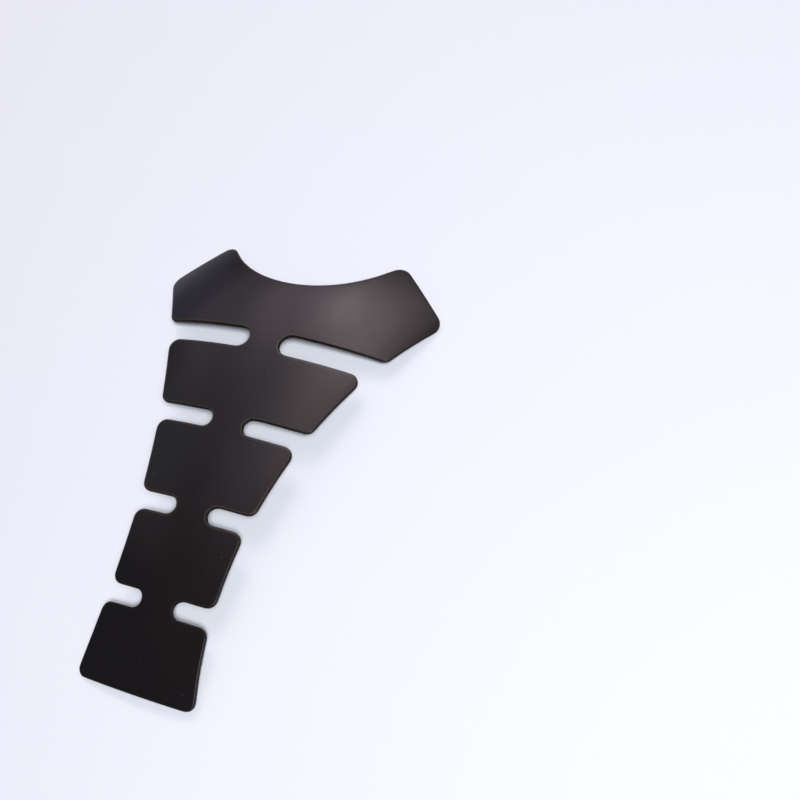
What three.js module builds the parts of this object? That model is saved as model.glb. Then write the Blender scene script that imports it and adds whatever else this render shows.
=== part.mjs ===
import * as THREE from 'three';
import { ConvexHull } from 'three/addons/math/ConvexHull.js';
import { mergeVertices } from 'three/addons/utils/BufferGeometryUtils.js';

// Motorcycle tank pad: one thin moulded sheet, cut like a spine with a wing at its top.
// Millimetres. +X runs across the pad, +Y along it to the wing and +Z up, away from the tank.
// The pad is drawn flat, with u across from its middle line and v up from its bottom edge.
// It is then bent as it lies on the tank, and laid down on its own edges.

// Outline: a wing with a round collar, over teeth whose ends lie on one long arc
const wingWidth = 150;
const tipSpacing = 93;
const collarHeight = 199;
const collarRadius = 58;
const waistWidth = 52.5;
const waistHeight = 51.5;
const sideRadius = 245;

// Slots in both sides, spaced up from the lowest one
const slotCount = 4;
const lowestSlotHeight = 38.8;
const slotPitch = 42.6;
const slotWidth = 8.2;
const wingSlotWidth = 10.3;
const spineWidth = 16.2;

// Corners seen from above
const tipRadius = 6;
const shoulderRadius = 6;
const toothRadius = 4.5;
const footRadius = 4;

// Section
const thickness = 1.8;
const rimRadius = 0.6;

// Bends: even across the pad, and along it flattest at bendMiddle, with endBendRadius at the bottom
const bendMiddle = 115;
const middleBendRadius = 750;
const endBendRadius = 200;
const acrossBendRadius = 200;
// The tank falls away more on the left, so both ends stand up on the right by this much
const skewRise = 7;

// Steps of the mesh
const cornerSteps = 6;
const sideSteps = 4;
const edgeSteps = 5;
const collarSteps = 5;
const slopeSteps = 3;
const slotEndSteps = 12;
const spineSteps = 4;
const rimSteps = 3;
const profileSteps = 24;
const traceStep = 0.01;
const normalStep = 0.05;
const seamTolerance = 0.0005;

const { Vector2, Vector3 } = THREE;
const collar = { centre: new Vector2(0, collarHeight + collarRadius), radius: collarRadius };
const side = { centre: new Vector2(waistWidth / 2 + sideRadius, waistHeight), radius: sideRadius };

function halfChord(radius, distance) {
  return Math.sqrt(radius ** 2 - distance ** 2);
}

function arc(centre, from, to, clockwise) {
  const start = from.clone().sub(centre);
  const end = to.clone().sub(centre);
  const radius = start.length();
  return new THREE.EllipseCurve(
    centre.x, centre.y, radius, radius, start.angle(), end.angle(), clockwise
  );
}

// A rounded corner inside the edge from a to b and outside a circle.
// The edge meets the circle where its travel enters it, or where it leaves it.
function roundedCorner(a, b, radius, circle, entering) {
  const along = b.clone().sub(a).normalize();
  const outward = new Vector2(-along.y, along.x);
  const start = a.clone().addScaledVector(outward, -radius);
  const toCircle = circle.centre.clone().sub(start);
  const half = halfChord(circle.radius + radius, toCircle.cross(along));
  const travel = toCircle.dot(along) + (entering ? -half : half);
  const centre = start.addScaledVector(along, travel);
  const onEdge = centre.clone().addScaledVector(outward, radius);
  const onCircle = circle.centre.clone().lerp(centre, circle.radius / (circle.radius + radius));
  return { centre, onEdge, onCircle };
}

// Points along a chain of curves, each with its outward normal, left of the travel.
function trace(...runs) {
  const stations = [];
  for (const [curve, steps] of runs) {
    for (let i = stations.length > 0 ? 1 : 0; i <= steps; i++) {
      const t = i / steps;
      const travel = curve.getPoint(t + traceStep).sub(curve.getPoint(t - traceStep)).normalize();
      const normal = new Vector2(-travel.y, travel.x);
      stations.push({ point: curve.getPoint(t), normal });
    }
  }
  return stations;
}

// Right half of the wing: along the collar, round the tip and shoulder, and in above its slot.
function wingEdge(slot) {
  const collarAt = (u) => new Vector2(u, collar.centre.y - halfChord(collarRadius, u));
  const sideAt = (u) => new Vector2(u, side.centre.y + halfChord(sideRadius, side.centre.x - u));
  const shoulderPoint = sideAt(wingWidth / 2);
  const tipPoint = collarAt(tipSpacing / 2);
  const slotTop = slot.centre.y + slot.radius;
  const inner = new Vector2(slot.centre.x, slotTop);
  const outer = new Vector2(wingWidth / 2, slotTop);
  const tip = roundedCorner(tipPoint, shoulderPoint, tipRadius, collar, false);
  const shoulder = roundedCorner(tipPoint, shoulderPoint, shoulderRadius, side, true);
  const low = roundedCorner(outer, inner, toothRadius, side, false);
  const topSteps = collarSteps + cornerSteps + slopeSteps;
  const stations = trace(
    [arc(collar.centre, collarAt(slot.centre.x), tip.onCircle, false), collarSteps],
    [arc(tip.centre, tip.onCircle, tip.onEdge, true), cornerSteps],
    [new THREE.LineCurve(tip.onEdge, shoulder.onEdge), slopeSteps],
    [arc(shoulder.centre, shoulder.onEdge, shoulder.onCircle, true), cornerSteps],
    [arc(side.centre, shoulder.onCircle, low.onCircle, false), sideSteps],
    [arc(low.centre, low.onCircle, low.onEdge, true), cornerSteps],
    [new THREE.LineCurve(low.onEdge, inner), topSteps]
  );
  return { stations, topSteps };
}

// Right half of a tooth: out below one slot, down the side, and in above the next edge.
function toothEdge(innerTop, innerBottom, lowRadius) {
  const outerTop = new Vector2(wingWidth / 2, innerTop.y);
  const outerBottom = new Vector2(wingWidth / 2, innerBottom.y);
  const high = roundedCorner(innerTop, outerTop, toothRadius, side, true);
  const low = roundedCorner(outerBottom, innerBottom, lowRadius, side, false);
  const stations = trace(
    [new THREE.LineCurve(innerTop, high.onEdge), edgeSteps],
    [arc(high.centre, high.onEdge, high.onCircle, true), cornerSteps],
    [arc(side.centre, high.onCircle, low.onCircle, false), sideSteps],
    [arc(low.centre, low.onCircle, low.onEdge, true), cornerSteps],
    [new THREE.LineCurve(low.onEdge, innerBottom), edgeSteps]
  );
  return { stations, topSteps: edgeSteps };
}

function makeSlots() {
  return Array.from({ length: slotCount }, (_, i) => {
    const radius = (i === 0 ? wingSlotWidth : slotWidth) / 2;
    const height = lowestSlotHeight + (slotCount - 1 - i) * slotPitch;
    const centre = new Vector2(spineWidth / 2 + radius, height);
    const top = centre.clone().setY(height + radius);
    const bottom = centre.clone().setY(height - radius);
    return { radius, centre, top, bottom, end: trace([arc(centre, top, bottom, false), slotEndSteps]) };
  });
}

// The right half of the outline as pieces from the collar down to the bottom edge.
const slots = makeSlots();
const wing = wingEdge(slots[0]);
const teeth = slots.map((slot, i) => {
  const next = slots[i + 1];
  return next
    ? toothEdge(slot.bottom, next.top, toothRadius)
    : toothEdge(slot.bottom, slot.bottom.clone().setY(0), footRadius);
});
const collarMiddle = trace([
  arc(collar.centre, new Vector2(0, collarHeight), wing.stations[0].point, false), spineSteps / 2,
]);
const footInner = teeth.at(-1).stations.at(-1).point;
const footMiddle = trace([new THREE.LineCurve(footInner, new Vector2(0, 0)), spineSteps / 2]);

function mirrored(point) {
  return new Vector2(-point.x, point.y);
}

function movedIn(stations, inset) {
  return stations.map(({ point, normal }) => point.clone().addScaledVector(normal, -inset));
}

// The whole outline, clockwise from the collar's middle, moved in from the edge by inset.
function ring(inset) {
  const pieces = [collarMiddle, wing.stations];
  slots.forEach((slot, i) => pieces.push(slot.end, teeth[i].stations));
  pieces.push(footMiddle);
  const right = pieces.flatMap((piece, i) => movedIn(i > 0 ? piece.slice(1) : piece, inset));
  const left = right.slice(1, -1).reverse().map(mirrored);
  return [...right, ...left];
}

function pointsBetween(from, to, steps) {
  return Array.from({ length: steps + 1 }, (_, i) => from.clone().lerp(to, i / steps));
}

// A grid blended between four edges. Top and bottom run to the right, left and right run down.
function blendedGrid(top, right, bottom, left) {
  const columns = top.length - 1;
  const rows = right.length - 1;
  return left.map((leftPoint, j) => top.map((topPoint, i) => {
    const s = i / columns;
    const t = j / rows;
    const upDown = topPoint.clone().lerp(bottom[i], t);
    const leftRight = leftPoint.clone().lerp(right[j], s);
    const upper = top[0].clone().lerp(top[columns], s);
    const lower = bottom[0].clone().lerp(bottom[columns], s);
    return upDown.add(leftRight).sub(upper.lerp(lower, t));
  }));
}

// Grids that fill the outline: two halves of each tooth and the spine between them.
function faceGrids(inset) {
  const grids = [];
  const collarRight = movedIn(collarMiddle, inset);
  const collarLeft = collarRight.slice(1).reverse().map(mirrored);
  const across = (point) => pointsBetween(mirrored(point), point, spineSteps);
  const addSpine = (top, right) => {
    grids.push(blendedGrid(top, right, across(right.at(-1)), right.map(mirrored)));
  };
  [wing, ...teeth].forEach(({ stations, topSteps }, i) => {
    const edge = movedIn(stations, inset);
    const corner = topSteps + cornerSteps / 2;
    const right = edge.slice(corner, edge.length - corner);
    const inner = pointsBetween(edge[0], edge.at(-1), right.length - 1);
    const bottom = edge.slice(-corner - 1).reverse();
    const half = blendedGrid(edge.slice(0, corner + 1), right, bottom, inner);
    grids.push(half, half.map((row) => row.map(mirrored).reverse()));
    addSpine(i === 0 ? [...collarLeft, ...collarRight] : across(edge[0]), inner);
  });
  slots.forEach((slot) => {
    const end = movedIn(slot.end, inset);
    addSpine(across(end[0]), end);
  });
  return grids;
}

// Slope of the tank along the pad, as the sum of its bend from the middle to v.
function slopeAt(v) {
  const distance = v - bendMiddle;
  const extraBend = (1 / endBendRadius - 1 / middleBendRadius) / bendMiddle ** 2;
  return distance / middleBendRadius + (extraBend * distance ** 3) / 3;
}

// The middle line seen from the side, walked from bendMiddle to v.
function middleLineAt(v) {
  const step = (v - bendMiddle) / profileSteps;
  const place = { y: 0, z: 0 };
  for (let i = 0; i < profileSteps; i++) {
    const slope = slopeAt(bendMiddle + (i + 0.5) * step);
    place.y += Math.cos(slope) * step;
    place.z -= Math.sin(slope) * step;
  }
  return place;
}

// A point of the underside before the skew, and the direction that stands off the tank there.
function evenBed(u, v) {
  const slope = slopeAt(v);
  const turn = u / acrossBendRadius;
  const { y, z } = middleLineAt(v);
  const fall = acrossBendRadius * (1 - Math.cos(turn));
  const point = new Vector3(
    acrossBendRadius * Math.sin(turn), y - fall * Math.sin(slope), z - fall * Math.cos(slope)
  );
  const off = new Vector3(
    Math.sin(turn), Math.cos(turn) * Math.sin(slope), Math.cos(turn) * Math.cos(slope)
  );
  return { point, off };
}

function bed(u, v) {
  const { point, off } = evenBed(u, v);
  const rise = skewRise * (u / (wingWidth / 2)) * ((v - bendMiddle) / bendMiddle) ** 2;
  return point.addScaledVector(off, rise);
}

// A flat point bent over the tank, at a height above the underside.
function bent(flat, height) {
  const alongU = bed(flat.x + normalStep, flat.y).sub(bed(flat.x - normalStep, flat.y));
  const alongV = bed(flat.x, flat.y + normalStep).sub(bed(flat.x, flat.y - normalStep));
  const normal = alongU.cross(alongV).normalize();
  return bed(flat.x, flat.y).addScaledVector(normal, height);
}

// The edge from the underside up the wall and round to the top face.
function rimProfile() {
  const profile = [{ inset: 0, height: 0 }];
  for (let i = 0; i <= rimSteps; i++) {
    const angle = (i / rimSteps) * (Math.PI / 2);
    const inset = rimRadius * (1 - Math.cos(angle));
    const height = thickness - rimRadius * (1 - Math.sin(angle));
    profile.push({ inset, height });
  }
  return profile;
}

function padGeometry() {
  const positions = [];
  const addQuad = (a, b, c, d) => {
    [a, b, c, a, c, d].forEach((corner) => positions.push(...corner));
  };
  const addFace = (inset, height, facesUp) => {
    for (const grid of faceGrids(inset)) {
      const placed = grid.map((row) => row.map((point) => bent(point, height)));
      for (let j = 1; j < placed.length; j++) {
        for (let i = 1; i < placed[j].length; i++) {
          const quad = [placed[j - 1][i - 1], placed[j][i - 1], placed[j][i], placed[j - 1][i]];
          addQuad(...(facesUp ? quad : quad.reverse()));
        }
      }
    }
  };
  const profile = rimProfile();
  const rings = profile.map(({ inset, height }) => ring(inset).map((point) => bent(point, height)));
  for (let k = 1; k < rings.length; k++) {
    const [lower, upper] = [rings[k - 1], rings[k]];
    lower.forEach((point, i) => {
      const next = (i + 1) % lower.length;
      addQuad(point, upper[i], upper[next], lower[next]);
    });
  }
  addFace(0, 0, false);
  addFace(rimRadius, thickness, true);
  const geometry = new THREE.BufferGeometry();
  geometry.setAttribute('position', new THREE.Float32BufferAttribute(positions, 3));
  const merged = mergeVertices(geometry, seamTolerance);
  merged.computeVertexNormals();
  return merged;
}

function corners(geometry) {
  const { position } = geometry.attributes;
  return Array.from({ length: position.count }, (_, i) => new Vector3().fromBufferAttribute(position, i));
}

// The middle of the volume, summed over the wedges between each triangle and the zero point.
function centreOfMass(geometry) {
  const points = corners(geometry);
  const centre = new Vector3();
  const index = geometry.index.array;
  let volume = 0;
  for (let i = 0; i < index.length; i += 3) {
    const [a, b, c] = [points[index[i]], points[index[i + 1]], points[index[i + 2]]];
    const wedge = a.dot(b.clone().cross(c)) / 6;
    volume += wedge;
    centre.addScaledVector(a.clone().add(b).add(c), wedge / 4);
  }
  return centre.divideScalar(volume);
}

// Lays the pad on the side of its hull that lies right below its centre of mass.
function layDown(pad) {
  const centre = centreOfMass(pad.geometry);
  const down = new Vector3(0, 0, -1);
  const hull = new ConvexHull().setFromPoints(corners(pad.geometry));
  const reach = (face) => -face.distanceToPoint(centre) / face.normal.dot(down);
  const lowest = hull.faces
    .filter((face) => face.normal.dot(down) > 0)
    .reduce((best, face) => (reach(face) < reach(best) ? face : best));
  pad.quaternion.setFromUnitVectors(lowest.normal, down);
  const box = new THREE.Box3().setFromObject(pad, true);
  const middle = box.getCenter(new Vector3());
  pad.position.set(-middle.x, -middle.y, -box.min.z);
}

const material = new THREE.MeshStandardMaterial({ color: 0x1d1918, roughness: 0.35, metalness: 0 });
const pad = new THREE.Mesh(padGeometry(), material);
pad.name = 'tank_pad';
layDown(pad);

const group = new THREE.Group();
group.add(pad);

export default group;
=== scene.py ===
import math

import bmesh
import bpy
from mathutils import Matrix, Vector
from mathutils.kdtree import KDTree


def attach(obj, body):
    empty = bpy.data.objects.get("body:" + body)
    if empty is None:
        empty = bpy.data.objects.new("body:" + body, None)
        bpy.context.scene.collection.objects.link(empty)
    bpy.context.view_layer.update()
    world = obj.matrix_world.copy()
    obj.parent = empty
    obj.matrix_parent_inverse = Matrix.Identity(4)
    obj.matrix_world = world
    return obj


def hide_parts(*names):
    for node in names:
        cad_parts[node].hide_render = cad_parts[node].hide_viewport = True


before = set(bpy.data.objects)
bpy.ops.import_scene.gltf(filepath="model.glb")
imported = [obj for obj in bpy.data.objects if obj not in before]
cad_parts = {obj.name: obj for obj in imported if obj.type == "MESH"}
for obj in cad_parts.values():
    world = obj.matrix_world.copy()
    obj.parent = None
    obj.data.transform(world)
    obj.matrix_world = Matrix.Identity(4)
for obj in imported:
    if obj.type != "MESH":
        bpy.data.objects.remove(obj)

# Satin black tank pad: a thin moulded sheet cut like a spine, with a wing at its top.
# Metres. The pad lies on its own edges, face up, with its wing towards +Y.

MILLIMETRE = 0.001

# Pad mesh
SEAM_GAP = 0.001 * MILLIMETRE
QUAD_FACE_ANGLE = math.radians(25)
QUAD_SHAPE_ANGLE = math.radians(60)
SHARP_EDGE = math.radians(60)
UNDERSIDE_LIMIT = -0.5
LOWER_EDGE_CREASE = 0.85
SMOOTH_LEVELS = 2
FACE, WALL, UNDERSIDE = range(3)
WALL_REACH = 1.76 * MILLIMETRE

# Painted highlight along the face's rim: how far it lies from the lower edge, and where along the pad
# it fades
RIM_START, RIM_END = 1.9 * MILLIMETRE, 2.2 * MILLIMETRE
HIGHLIGHT_FADED, HIGHLIGHT_FULL = -75 * MILLIMETRE, -15 * MILLIMETRE
HIGHLIGHT_AT_FOOT = 0.1
HIGHLIGHT_BETWEEN_PATCHES = 0.65

# Colours of the pad and the floor
COOL_BLACK = (0.0050, 0.0042, 0.0052)
WARM_BLACK = (0.0064, 0.0042, 0.0050)
# Brown of a highlight painted along the face's rim
RIM_HIGHLIGHT_BROWN = (0.034, 0.024, 0.017)
LINT_GREY = (0.11, 0.105, 0.10)
WALL_BLACK = (0.0070, 0.0052, 0.0038)
WALL_BROWN = (0.0125, 0.0095, 0.0068)
BACK_DARK_GREY = (0.030, 0.030, 0.032)
BACK_GREY = (0.044, 0.043, 0.043)
PAPER_COOL = (0.80, 0.83, 0.89)
PAPER_PALE = (0.84, 0.86, 0.90)

# Finish: roughness at the smooth and the dull spots, sheen, and depth of the relief
FACE_SMOOTH, FACE_DULL = 0.235, 0.27
WIPE_DULL = 0.010
WALL_SMOOTH, WALL_DULL = 0.42, 0.52
WALL_SHEEN = 0.12
BACK_SMOOTH, BACK_DULL = 0.46, 0.60
PAPER_DULL = 0.75
LINT_STRENGTH = 0.35
SKIN_DEPTH = 0.006 * MILLIMETRE
DRAW_MARK_DEPTH = 0.03 * MILLIMETRE
STIPPLE_DEPTH = 0.06 * MILLIMETRE
PAPER_DEPTH = 0.01 * MILLIMETRE

# Stretch of a pattern along the pad and up its wall
ALONG_PAD = (1.0, 0.12, 1.0)
UP_WALL = (1.0, 1.0, 0.08)

# Colour sockets of a Mix node, which share their names with its other sockets
MIX_COLOURS_IN = (6, 7)
MIX_COLOUR_OUT = 2

# Camera, at the photograph's viewing angle
CAMERA_PLACE = Vector((348.99, -178.68, 546.36)) * MILLIMETRE
CAMERA_TARGET = Vector((71.09, 44.10, 10.0)) * MILLIMETRE
CAMERA_ROLL = math.radians(35.06)
CAMERA_LENS = 66.90
SENSOR_WIDTH = 36.0
NEAREST_SEEN = 10 * MILLIMETRE

# Studio: angles in degrees from +Y and from the floor, distances in metres
LIT_POINT = Vector((0.0, 0.04, 0.0))
FLOOR_WIDTH = 40.0
SOFTBOX_DISTANCE = 1.1
CAMERA_SIDE, CAMERA_SIDE_HEIGHT = 118, 54
CAMERA_SIDE_DISTANCE = 0.9
KEY_SPREAD = math.radians(10)
KEY_POWER = 1.9
KEY_COLOUR = (0.93, 0.95, 1.0)
KEY_DISTANCE = 1.0
AIR_COLOUR = (0.107, 0.101, 0.1045)
HORIZON_COLOUR = (0.46, 0.48, 0.53)
AIR_FADE = 0.06

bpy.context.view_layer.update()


# Modelling helpers

def only(obj):
    """Makes obj the one selected and active object."""
    bpy.ops.object.select_all(action="DESELECT")
    obj.select_set(True)
    bpy.context.view_layer.objects.active = obj


def in_edit_mode(obj, selection):
    """Opens obj for editing with every part of it deselected and one kind of part in use."""
    only(obj)
    bpy.ops.object.mode_set(mode="EDIT")
    bpy.ops.mesh.select_mode(type=selection)
    bpy.ops.mesh.select_all(action="DESELECT")


# Shader helpers

def start_material(name):
    """A material with a Principled surface and nothing else; returns it, its tree and the surface."""
    material = bpy.data.materials.new(name)
    material.use_nodes = True
    tree = material.node_tree
    tree.nodes.clear()
    output = tree.nodes.new("ShaderNodeOutputMaterial")
    surface = tree.nodes.new("ShaderNodeBsdfPrincipled")
    tree.links.new(surface.outputs["BSDF"], output.inputs["Surface"])
    return material, tree, surface


def start_group(name, inputs, outputs):
    """A node group; inputs maps each name to its default, outputs lists names of plain values."""
    group = bpy.data.node_groups.new(name, "ShaderNodeTree")
    vector = group.interface.new_socket("Vector", in_out="INPUT", socket_type="NodeSocketVector")
    vector.hide_value = True
    for socket_name, default in inputs.items():
        socket = group.interface.new_socket(
            socket_name, in_out="INPUT", socket_type="NodeSocketFloat"
        )
        socket.default_value = default
    for socket_name in outputs:
        group.interface.new_socket(socket_name, in_out="OUTPUT", socket_type="NodeSocketFloat")
    entry = group.nodes.new("NodeGroupInput")
    leave = group.nodes.new("NodeGroupOutput")
    return group, entry, leave


def noise(tree, vector, scale, detail, roughness=0.5):
    """Soft noise; scale is a number or a socket."""
    node = tree.nodes.new("ShaderNodeTexNoise")
    tree.links.new(vector, node.inputs["Vector"])
    if isinstance(scale, (int, float)):
        node.inputs["Scale"].default_value = scale
    else:
        tree.links.new(scale, node.inputs["Scale"])
    node.inputs["Detail"].default_value = detail
    node.inputs["Roughness"].default_value = roughness
    return node.outputs["Fac"]


def calculated(tree, operation, first, second):
    """One step of arithmetic on two values, each a number or a socket."""
    node = tree.nodes.new("ShaderNodeMath")
    node.operation = operation
    for socket, value in zip(node.inputs, (first, second)):
        if isinstance(value, (int, float)):
            socket.default_value = value
        else:
            tree.links.new(value, socket)
    return node.outputs["Value"]


def ranged(tree, value, low, high, to_low=0.0, to_high=1.0):
    """Takes value from the range low to high smoothly to the range to_low to to_high."""
    node = tree.nodes.new("ShaderNodeMapRange")
    node.interpolation_type = "SMOOTHSTEP"
    tree.links.new(value, node.inputs["Value"])
    node.inputs["From Min"].default_value = low
    node.inputs["From Max"].default_value = high
    node.inputs["To Min"].default_value = to_low
    node.inputs["To Max"].default_value = to_high
    return node.outputs["Result"]


def mixed_colour(tree, factor, first, second):
    """Goes from the first colour to the second as factor rises; each is a tuple or a socket."""
    node = tree.nodes.new("ShaderNodeMix")
    node.data_type = "RGBA"
    tree.links.new(factor, node.inputs["Factor"])
    for number, colour in zip(MIX_COLOURS_IN, (first, second)):
        if isinstance(colour, tuple):
            node.inputs[number].default_value = (*colour, 1.0)
        else:
            tree.links.new(colour, node.inputs[number])
    return node.outputs[MIX_COLOUR_OUT]


def placed_group(tree, group, vector, **values):
    """Places a node group; a value is given by its socket's name, with _ for each space."""
    node = tree.nodes.new("ShaderNodeGroup")
    node.node_tree = group
    tree.links.new(vector, node.inputs["Vector"])
    for name, value in values.items():
        node.inputs[name.replace("_", " ")].default_value = value
    return node


def object_place(tree, stretch=(1.0, 1.0, 1.0)):
    """Place on the piece; a pattern is drawn out along an axis whose stretch is under 1."""
    place = tree.nodes.new("ShaderNodeTexCoord")
    mapping = tree.nodes.new("ShaderNodeMapping")
    mapping.inputs["Scale"].default_value = stretch
    tree.links.new(place.outputs["Object"], mapping.inputs["Vector"])
    return mapping.outputs["Vector"]


def bumped(tree, surface, height, depth):
    """Gives the surface a relief that is depth metres deep."""
    node = tree.nodes.new("ShaderNodeBump")
    node.inputs["Distance"].default_value = depth
    node.inputs["Strength"].default_value = 1.0
    tree.links.new(height, node.inputs["Height"])
    tree.links.new(node.outputs["Normal"], surface.inputs["Normal"])


# Shared effects

def moulded_skin_group():
    """Height of a moulded skin: slow waves with a fine grain over them, and a cloudy sheen mask."""
    group, entry, leave = start_group(
        "Moulded Skin",
        {"Wave Scale": 160.0, "Grain Scale": 1900.0, "Grain Share": 0.2, "Cloud Scale": 22.0},
        ("Height", "Clouds"),
    )
    vector = entry.outputs["Vector"]
    wave = noise(group, vector, entry.outputs["Wave Scale"], detail=1.5)
    grain = noise(group, vector, entry.outputs["Grain Scale"], detail=3.0)
    fine = calculated(group, "MULTIPLY", grain, entry.outputs["Grain Share"])
    height = calculated(group, "ADD", wave, fine)
    clouds = noise(group, vector, entry.outputs["Cloud Scale"], detail=4.0, roughness=0.55)
    group.links.new(height, leave.inputs["Height"])
    group.links.new(ranged(group, clouds, low=0.35, high=0.68), leave.inputs["Clouds"])
    return group


def lint_group():
    """Sparse fine specks of lint and dust."""
    group, entry, leave = start_group(
        "Lint", {"Scale": 420.0, "Speck Size": 0.12, "Amount": 0.3}, ("Specks",)
    )
    vector = entry.outputs["Vector"]
    cells = group.nodes.new("ShaderNodeTexVoronoi")
    cells.feature = "F1"
    group.links.new(vector, cells.inputs["Vector"])
    group.links.new(entry.outputs["Scale"], cells.inputs["Scale"])
    near = calculated(group, "LESS_THAN", cells.outputs["Distance"], entry.outputs["Speck Size"])
    chance = group.nodes.new("ShaderNodeSeparateColor")
    group.links.new(cells.outputs["Color"], chance.inputs["Color"])
    kept = calculated(group, "LESS_THAN", chance.outputs["Red"], entry.outputs["Amount"])
    group.links.new(calculated(group, "MULTIPLY", near, kept), leave.inputs["Specks"])
    return group


MOULDED_SKIN = moulded_skin_group()
LINT = lint_group()


# Materials

def painted_rim_highlight(tree, vector, tint):
    """Where the rim gets a painted highlight: in patches along it, and less towards the foot."""
    edge = tree.nodes.new("ShaderNodeAttribute")
    edge.attribute_name = "edge_distance"
    rim = ranged(tree, edge.outputs["Fac"], RIM_START, RIM_END, to_low=1.0, to_high=0.0)
    place = tree.nodes.new("ShaderNodeSeparateXYZ")
    tree.links.new(vector, place.inputs["Vector"])
    upper = ranged(tree, place.outputs["Y"], HIGHLIGHT_FADED, HIGHLIGHT_FULL, to_low=HIGHLIGHT_AT_FOOT)
    patches = ranged(tree, tint, low=0.42, high=0.58, to_low=HIGHLIGHT_BETWEEN_PATCHES)
    return calculated(tree, "MULTIPLY", rim, calculated(tree, "MULTIPLY", upper, patches))


def satin_face_material():
    """The pad's face: smooth satin polyurethane, black with a warm cast, with a brown highlight
    painted along its rim.
    """
    material, tree, surface = start_material("satin_face")
    vector = object_place(tree)
    skin = placed_group(tree, MOULDED_SKIN, vector)
    lint = placed_group(tree, LINT, vector, Amount=0.05)
    tint = noise(tree, vector, scale=14.0, detail=2.0)
    black = mixed_colour(tree, ranged(tree, tint, low=0.4, high=0.62), COOL_BLACK, WARM_BLACK)
    # Painted highlight: a thin brown line along the rim, where the rounded edge catches the light
    rim_lit = mixed_colour(tree, painted_rim_highlight(tree, vector, tint), black, RIM_HIGHLIGHT_BROWN)
    specks = calculated(tree, "MULTIPLY", lint.outputs["Specks"], LINT_STRENGTH)
    tree.links.new(mixed_colour(tree, specks, rim_lit, LINT_GREY), surface.inputs["Base Color"])
    cloudy = ranged(tree, skin.outputs["Clouds"], 0.0, 1.0, FACE_SMOOTH, FACE_DULL)
    streaks = noise(tree, object_place(tree, ALONG_PAD), scale=700.0, detail=2.0)
    wiped = ranged(tree, streaks, low=0.35, high=0.75, to_high=WIPE_DULL)
    tree.links.new(calculated(tree, "ADD", cloudy, wiped), surface.inputs["Roughness"])
    bumped(tree, surface, skin.outputs["Height"], SKIN_DEPTH)
    return material


def moulded_wall_material():
    """The upright side: brown-black, with fine upright draw marks from the mould."""
    material, tree, surface = start_material("moulded_wall")
    vector = object_place(tree)
    marks = noise(tree, object_place(tree, UP_WALL), scale=1500.0, detail=3.0)
    brown = mixed_colour(tree, ranged(tree, marks, low=0.35, high=0.7), WALL_BLACK, WALL_BROWN)
    tree.links.new(brown, surface.inputs["Base Color"])
    skin = placed_group(tree, MOULDED_SKIN, vector)
    cloudy = ranged(tree, skin.outputs["Clouds"], 0.0, 1.0, WALL_SMOOTH, WALL_DULL)
    tree.links.new(cloudy, surface.inputs["Roughness"])
    surface.inputs["Specular IOR Level"].default_value = WALL_SHEEN
    bumped(tree, surface, marks, DRAW_MARK_DEPTH)
    return material


def adhesive_back_material():
    """The underside: dark grey adhesive film with a fine stipple."""
    material, tree, surface = start_material("adhesive_back")
    vector = object_place(tree)
    skin = placed_group(tree, MOULDED_SKIN, vector, Wave_Scale=520.0, Grain_Share=0.6)
    clouds = skin.outputs["Clouds"]
    grey = mixed_colour(tree, clouds, BACK_DARK_GREY, BACK_GREY)
    tree.links.new(grey, surface.inputs["Base Color"])
    cloudy = ranged(tree, clouds, 0.0, 1.0, BACK_SMOOTH, BACK_DULL)
    tree.links.new(cloudy, surface.inputs["Roughness"])
    bumped(tree, surface, skin.outputs["Height"], STIPPLE_DEPTH)
    return material


def studio_floor_material():
    """The floor: pale matt paper with a faint drift of colour and a fine tooth."""
    material, tree, surface = start_material("studio_floor")
    vector = object_place(tree)
    drift = noise(tree, vector, scale=3.0, detail=3.0)
    pale = mixed_colour(tree, drift, PAPER_COOL, PAPER_PALE)
    tree.links.new(pale, surface.inputs["Base Color"])
    surface.inputs["Roughness"].default_value = PAPER_DULL
    bumped(tree, surface, noise(tree, vector, scale=900.0, detail=3.0), PAPER_DEPTH)
    return material


# The pad

def select_lower_edge(obj):
    """Opens obj for editing and selects the sharp edge that runs round the underside."""
    in_edit_mode(obj, "EDGE")
    mesh = bmesh.from_edit_mesh(obj.data)
    for edge in mesh.edges:
        if edge.calc_face_angle() > SHARP_EDGE:
            edge.select_set(True)
    bmesh.update_edit_mesh(obj.data)


def tell_wall_from_face(pad):
    """Writes how far each point lies from the lower edge, and gives the wall its own material."""
    under, over = set(), set()
    for face in pad.data.polygons:
        side = under if face.material_index == UNDERSIDE else over
        side.update(face.vertices)
    lower_edge = under & over
    tree = KDTree(len(lower_edge))
    for number in lower_edge:
        tree.insert(pad.data.vertices[number].co, number)
    tree.balance()
    distances = [tree.find(vertex.co)[2] for vertex in pad.data.vertices]
    written = pad.data.attributes.new("edge_distance", "FLOAT", "POINT")
    written.data.foreach_set("value", distances)
    for face in pad.data.polygons:
        reach = sum(distances[number] for number in face.vertices) / len(face.vertices)
        if face.material_index == FACE and reach < WALL_REACH:
            face.material_index = WALL


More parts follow.
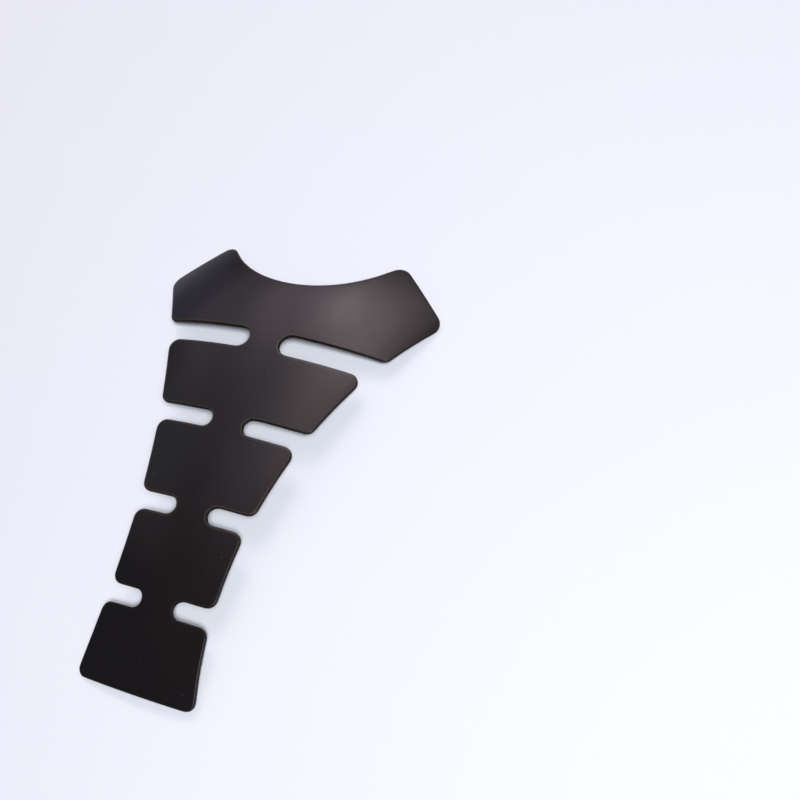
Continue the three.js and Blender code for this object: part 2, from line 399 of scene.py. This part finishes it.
def moulded_pad():
    """The pad itself, smoothed from its solid, with its face, wall and underside told apart."""
    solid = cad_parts["tank_pad"]
    pad = bpy.data.objects.new("moulded_pad", solid.data.copy())
    bpy.context.scene.collection.objects.link(pad)
    pad.data.materials.clear()
    for make in (satin_face_material, moulded_wall_material, adhesive_back_material):
        pad.data.materials.append(make())

    in_edit_mode(pad, "FACE")
    bpy.ops.mesh.select_all(action="SELECT")
    bpy.ops.mesh.remove_doubles(threshold=SEAM_GAP)
    bpy.ops.mesh.tris_convert_to_quads(
        face_threshold=QUAD_FACE_ANGLE, shape_threshold=QUAD_SHAPE_ANGLE
    )
    bpy.ops.object.mode_set(mode="OBJECT")

    select_lower_edge(pad)
    bpy.ops.transform.edge_crease(value=LOWER_EDGE_CREASE)
    bpy.ops.object.mode_set(mode="OBJECT")
    for face in pad.data.polygons:
        face.material_index = UNDERSIDE if face.normal.z < UNDERSIDE_LIMIT else FACE

    smoothing = pad.modifiers.new("smooth form", "SUBSURF")
    smoothing.levels = SMOOTH_LEVELS
    smoothing.render_levels = SMOOTH_LEVELS
    only(pad)
    bpy.ops.object.modifier_apply(modifier=smoothing.name)
    bpy.ops.object.shade_smooth_by_angle(angle=SHARP_EDGE)
    tell_wall_from_face(pad)
    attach(pad, "root")
    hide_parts("tank_pad")


# Studio

def hang_light(data, azimuth, elevation, distance):
    """Hangs a light so that it faces the pad, by its angles from +Y and from the floor."""
    across, up = math.radians(azimuth), math.radians(elevation)
    level = math.cos(up)
    towards = Vector((math.sin(across) * level, math.cos(across) * level, math.sin(up)))
    lamp = bpy.data.objects.new(data.name, data)
    lamp.location = LIT_POINT + towards * distance
    lamp.rotation_euler = (-towards).to_track_quat("-Z", "Y").to_euler()
    bpy.context.scene.collection.objects.link(lamp)


def soft_light(name, azimuth, elevation, size, power, colour, distance=SOFTBOX_DISTANCE):
    """A square softbox that faces the pad."""
    data = bpy.data.lights.new(name, "AREA")
    data.shape = "SQUARE"
    data.size = size
    data.energy = power
    data.color = colour
    hang_light(data, azimuth, elevation, distance)


def camera_side_light():
    """A small softbox beside the camera, which lights the floor seen through the slots."""
    soft_light(
        "camera_side_softbox", CAMERA_SIDE, CAMERA_SIDE_HEIGHT,
        size=0.2, power=3.4, colour=(0.92, 0.94, 1.0), distance=CAMERA_SIDE_DISTANCE,
    )


def even_key_light():
    """A wide even light from the camera's side, which hides its shadows behind the pad."""
    data = bpy.data.lights.new("even_key", "SUN")
    data.angle = KEY_SPREAD
    data.energy = KEY_POWER
    data.color = KEY_COLOUR
    hang_light(data, CAMERA_SIDE, CAMERA_SIDE_HEIGHT, KEY_DISTANCE)


def studio_air():
    """Dim soft air, as pale as the far floor where the two meet."""
    world = bpy.data.worlds.new("studio_air")
    world.use_nodes = True
    tree = world.node_tree
    direction = tree.nodes.new("ShaderNodeTexCoord")
    parts = tree.nodes.new("ShaderNodeSeparateXYZ")
    tree.links.new(direction.outputs["Generated"], parts.inputs["Vector"])
    height = ranged(tree, parts.outputs["Z"], 0.0, AIR_FADE)
    colour = mixed_colour(tree, height, HORIZON_COLOUR, AIR_COLOUR)
    tree.links.new(colour, tree.nodes["Background"].inputs["Color"])
    bpy.context.scene.world = world


def studio():
    """Pale floor, dim air, and softboxes whose reflections model the bent face."""
    bpy.ops.object.select_all(action="DESELECT")
    bpy.ops.mesh.primitive_plane_add(size=FLOOR_WIDTH, location=(0.0, 0.0, 0.0))
    floor = bpy.context.object
    floor.name = "studio_floor"
    floor.data.materials.append(studio_floor_material())

    studio_air()

    soft_light("low_left_glow", -62, 12, size=0.45, power=0.13, colour=(0.42, 0.45, 1.0))
    soft_light("left_softbox", -50, 32, size=0.4, power=0.26, colour=(0.97, 0.83, 1.0))
    soft_light("back_left_softbox", -36, 45, size=0.35, power=0.55, colour=(1.0, 0.84, 0.99))
    soft_light("back_softbox", -22, 52, size=0.25, power=0.28, colour=(0.98, 0.96, 1.0))
    soft_light("narrow_softbox", -16, 53, size=0.15, power=0.30, colour=(1.0, 0.73, 0.72))
    soft_light("high_back_softbox", -8, 60, size=0.3, power=0.44, colour=(1.0, 0.89, 0.98))
    soft_light("back_right_softbox", 8, 58, size=0.3, power=0.51, colour=(1.0, 0.82, 0.85))
    soft_light("overhead_softbox", -5, 72, size=0.35, power=0.48, colour=(1.0, 0.76, 0.79))
    soft_light("side_fill", -75, 45, size=0.5, power=0.22, colour=(0.93, 0.92, 1.0))
    soft_light("high_left_softbox", -50, 68, size=0.35, power=0.21, colour=(0.92, 0.81, 1.0))
    camera_side_light()
    even_key_light()


def photo_camera():
    """The camera, rolled so that the pad leans in the frame as in the photograph."""
    data = bpy.data.cameras.new("photo_camera")
    data.lens = CAMERA_LENS
    data.sensor_width = SENSOR_WIDTH
    data.clip_start = NEAREST_SEEN
    camera = bpy.data.objects.new("photo_camera", data)
    camera.location = CAMERA_PLACE
    look = (CAMERA_TARGET - CAMERA_PLACE).to_track_quat("-Z", "Y").to_matrix().to_4x4()
    camera.rotation_euler = (look @ Matrix.Rotation(-CAMERA_ROLL, 4, "Z")).to_euler()
    bpy.context.scene.collection.objects.link(camera)
    bpy.context.scene.camera = camera


photo_camera()
moulded_pad()
studio()
bpy.context.scene.view_settings.view_transform = "Standard"
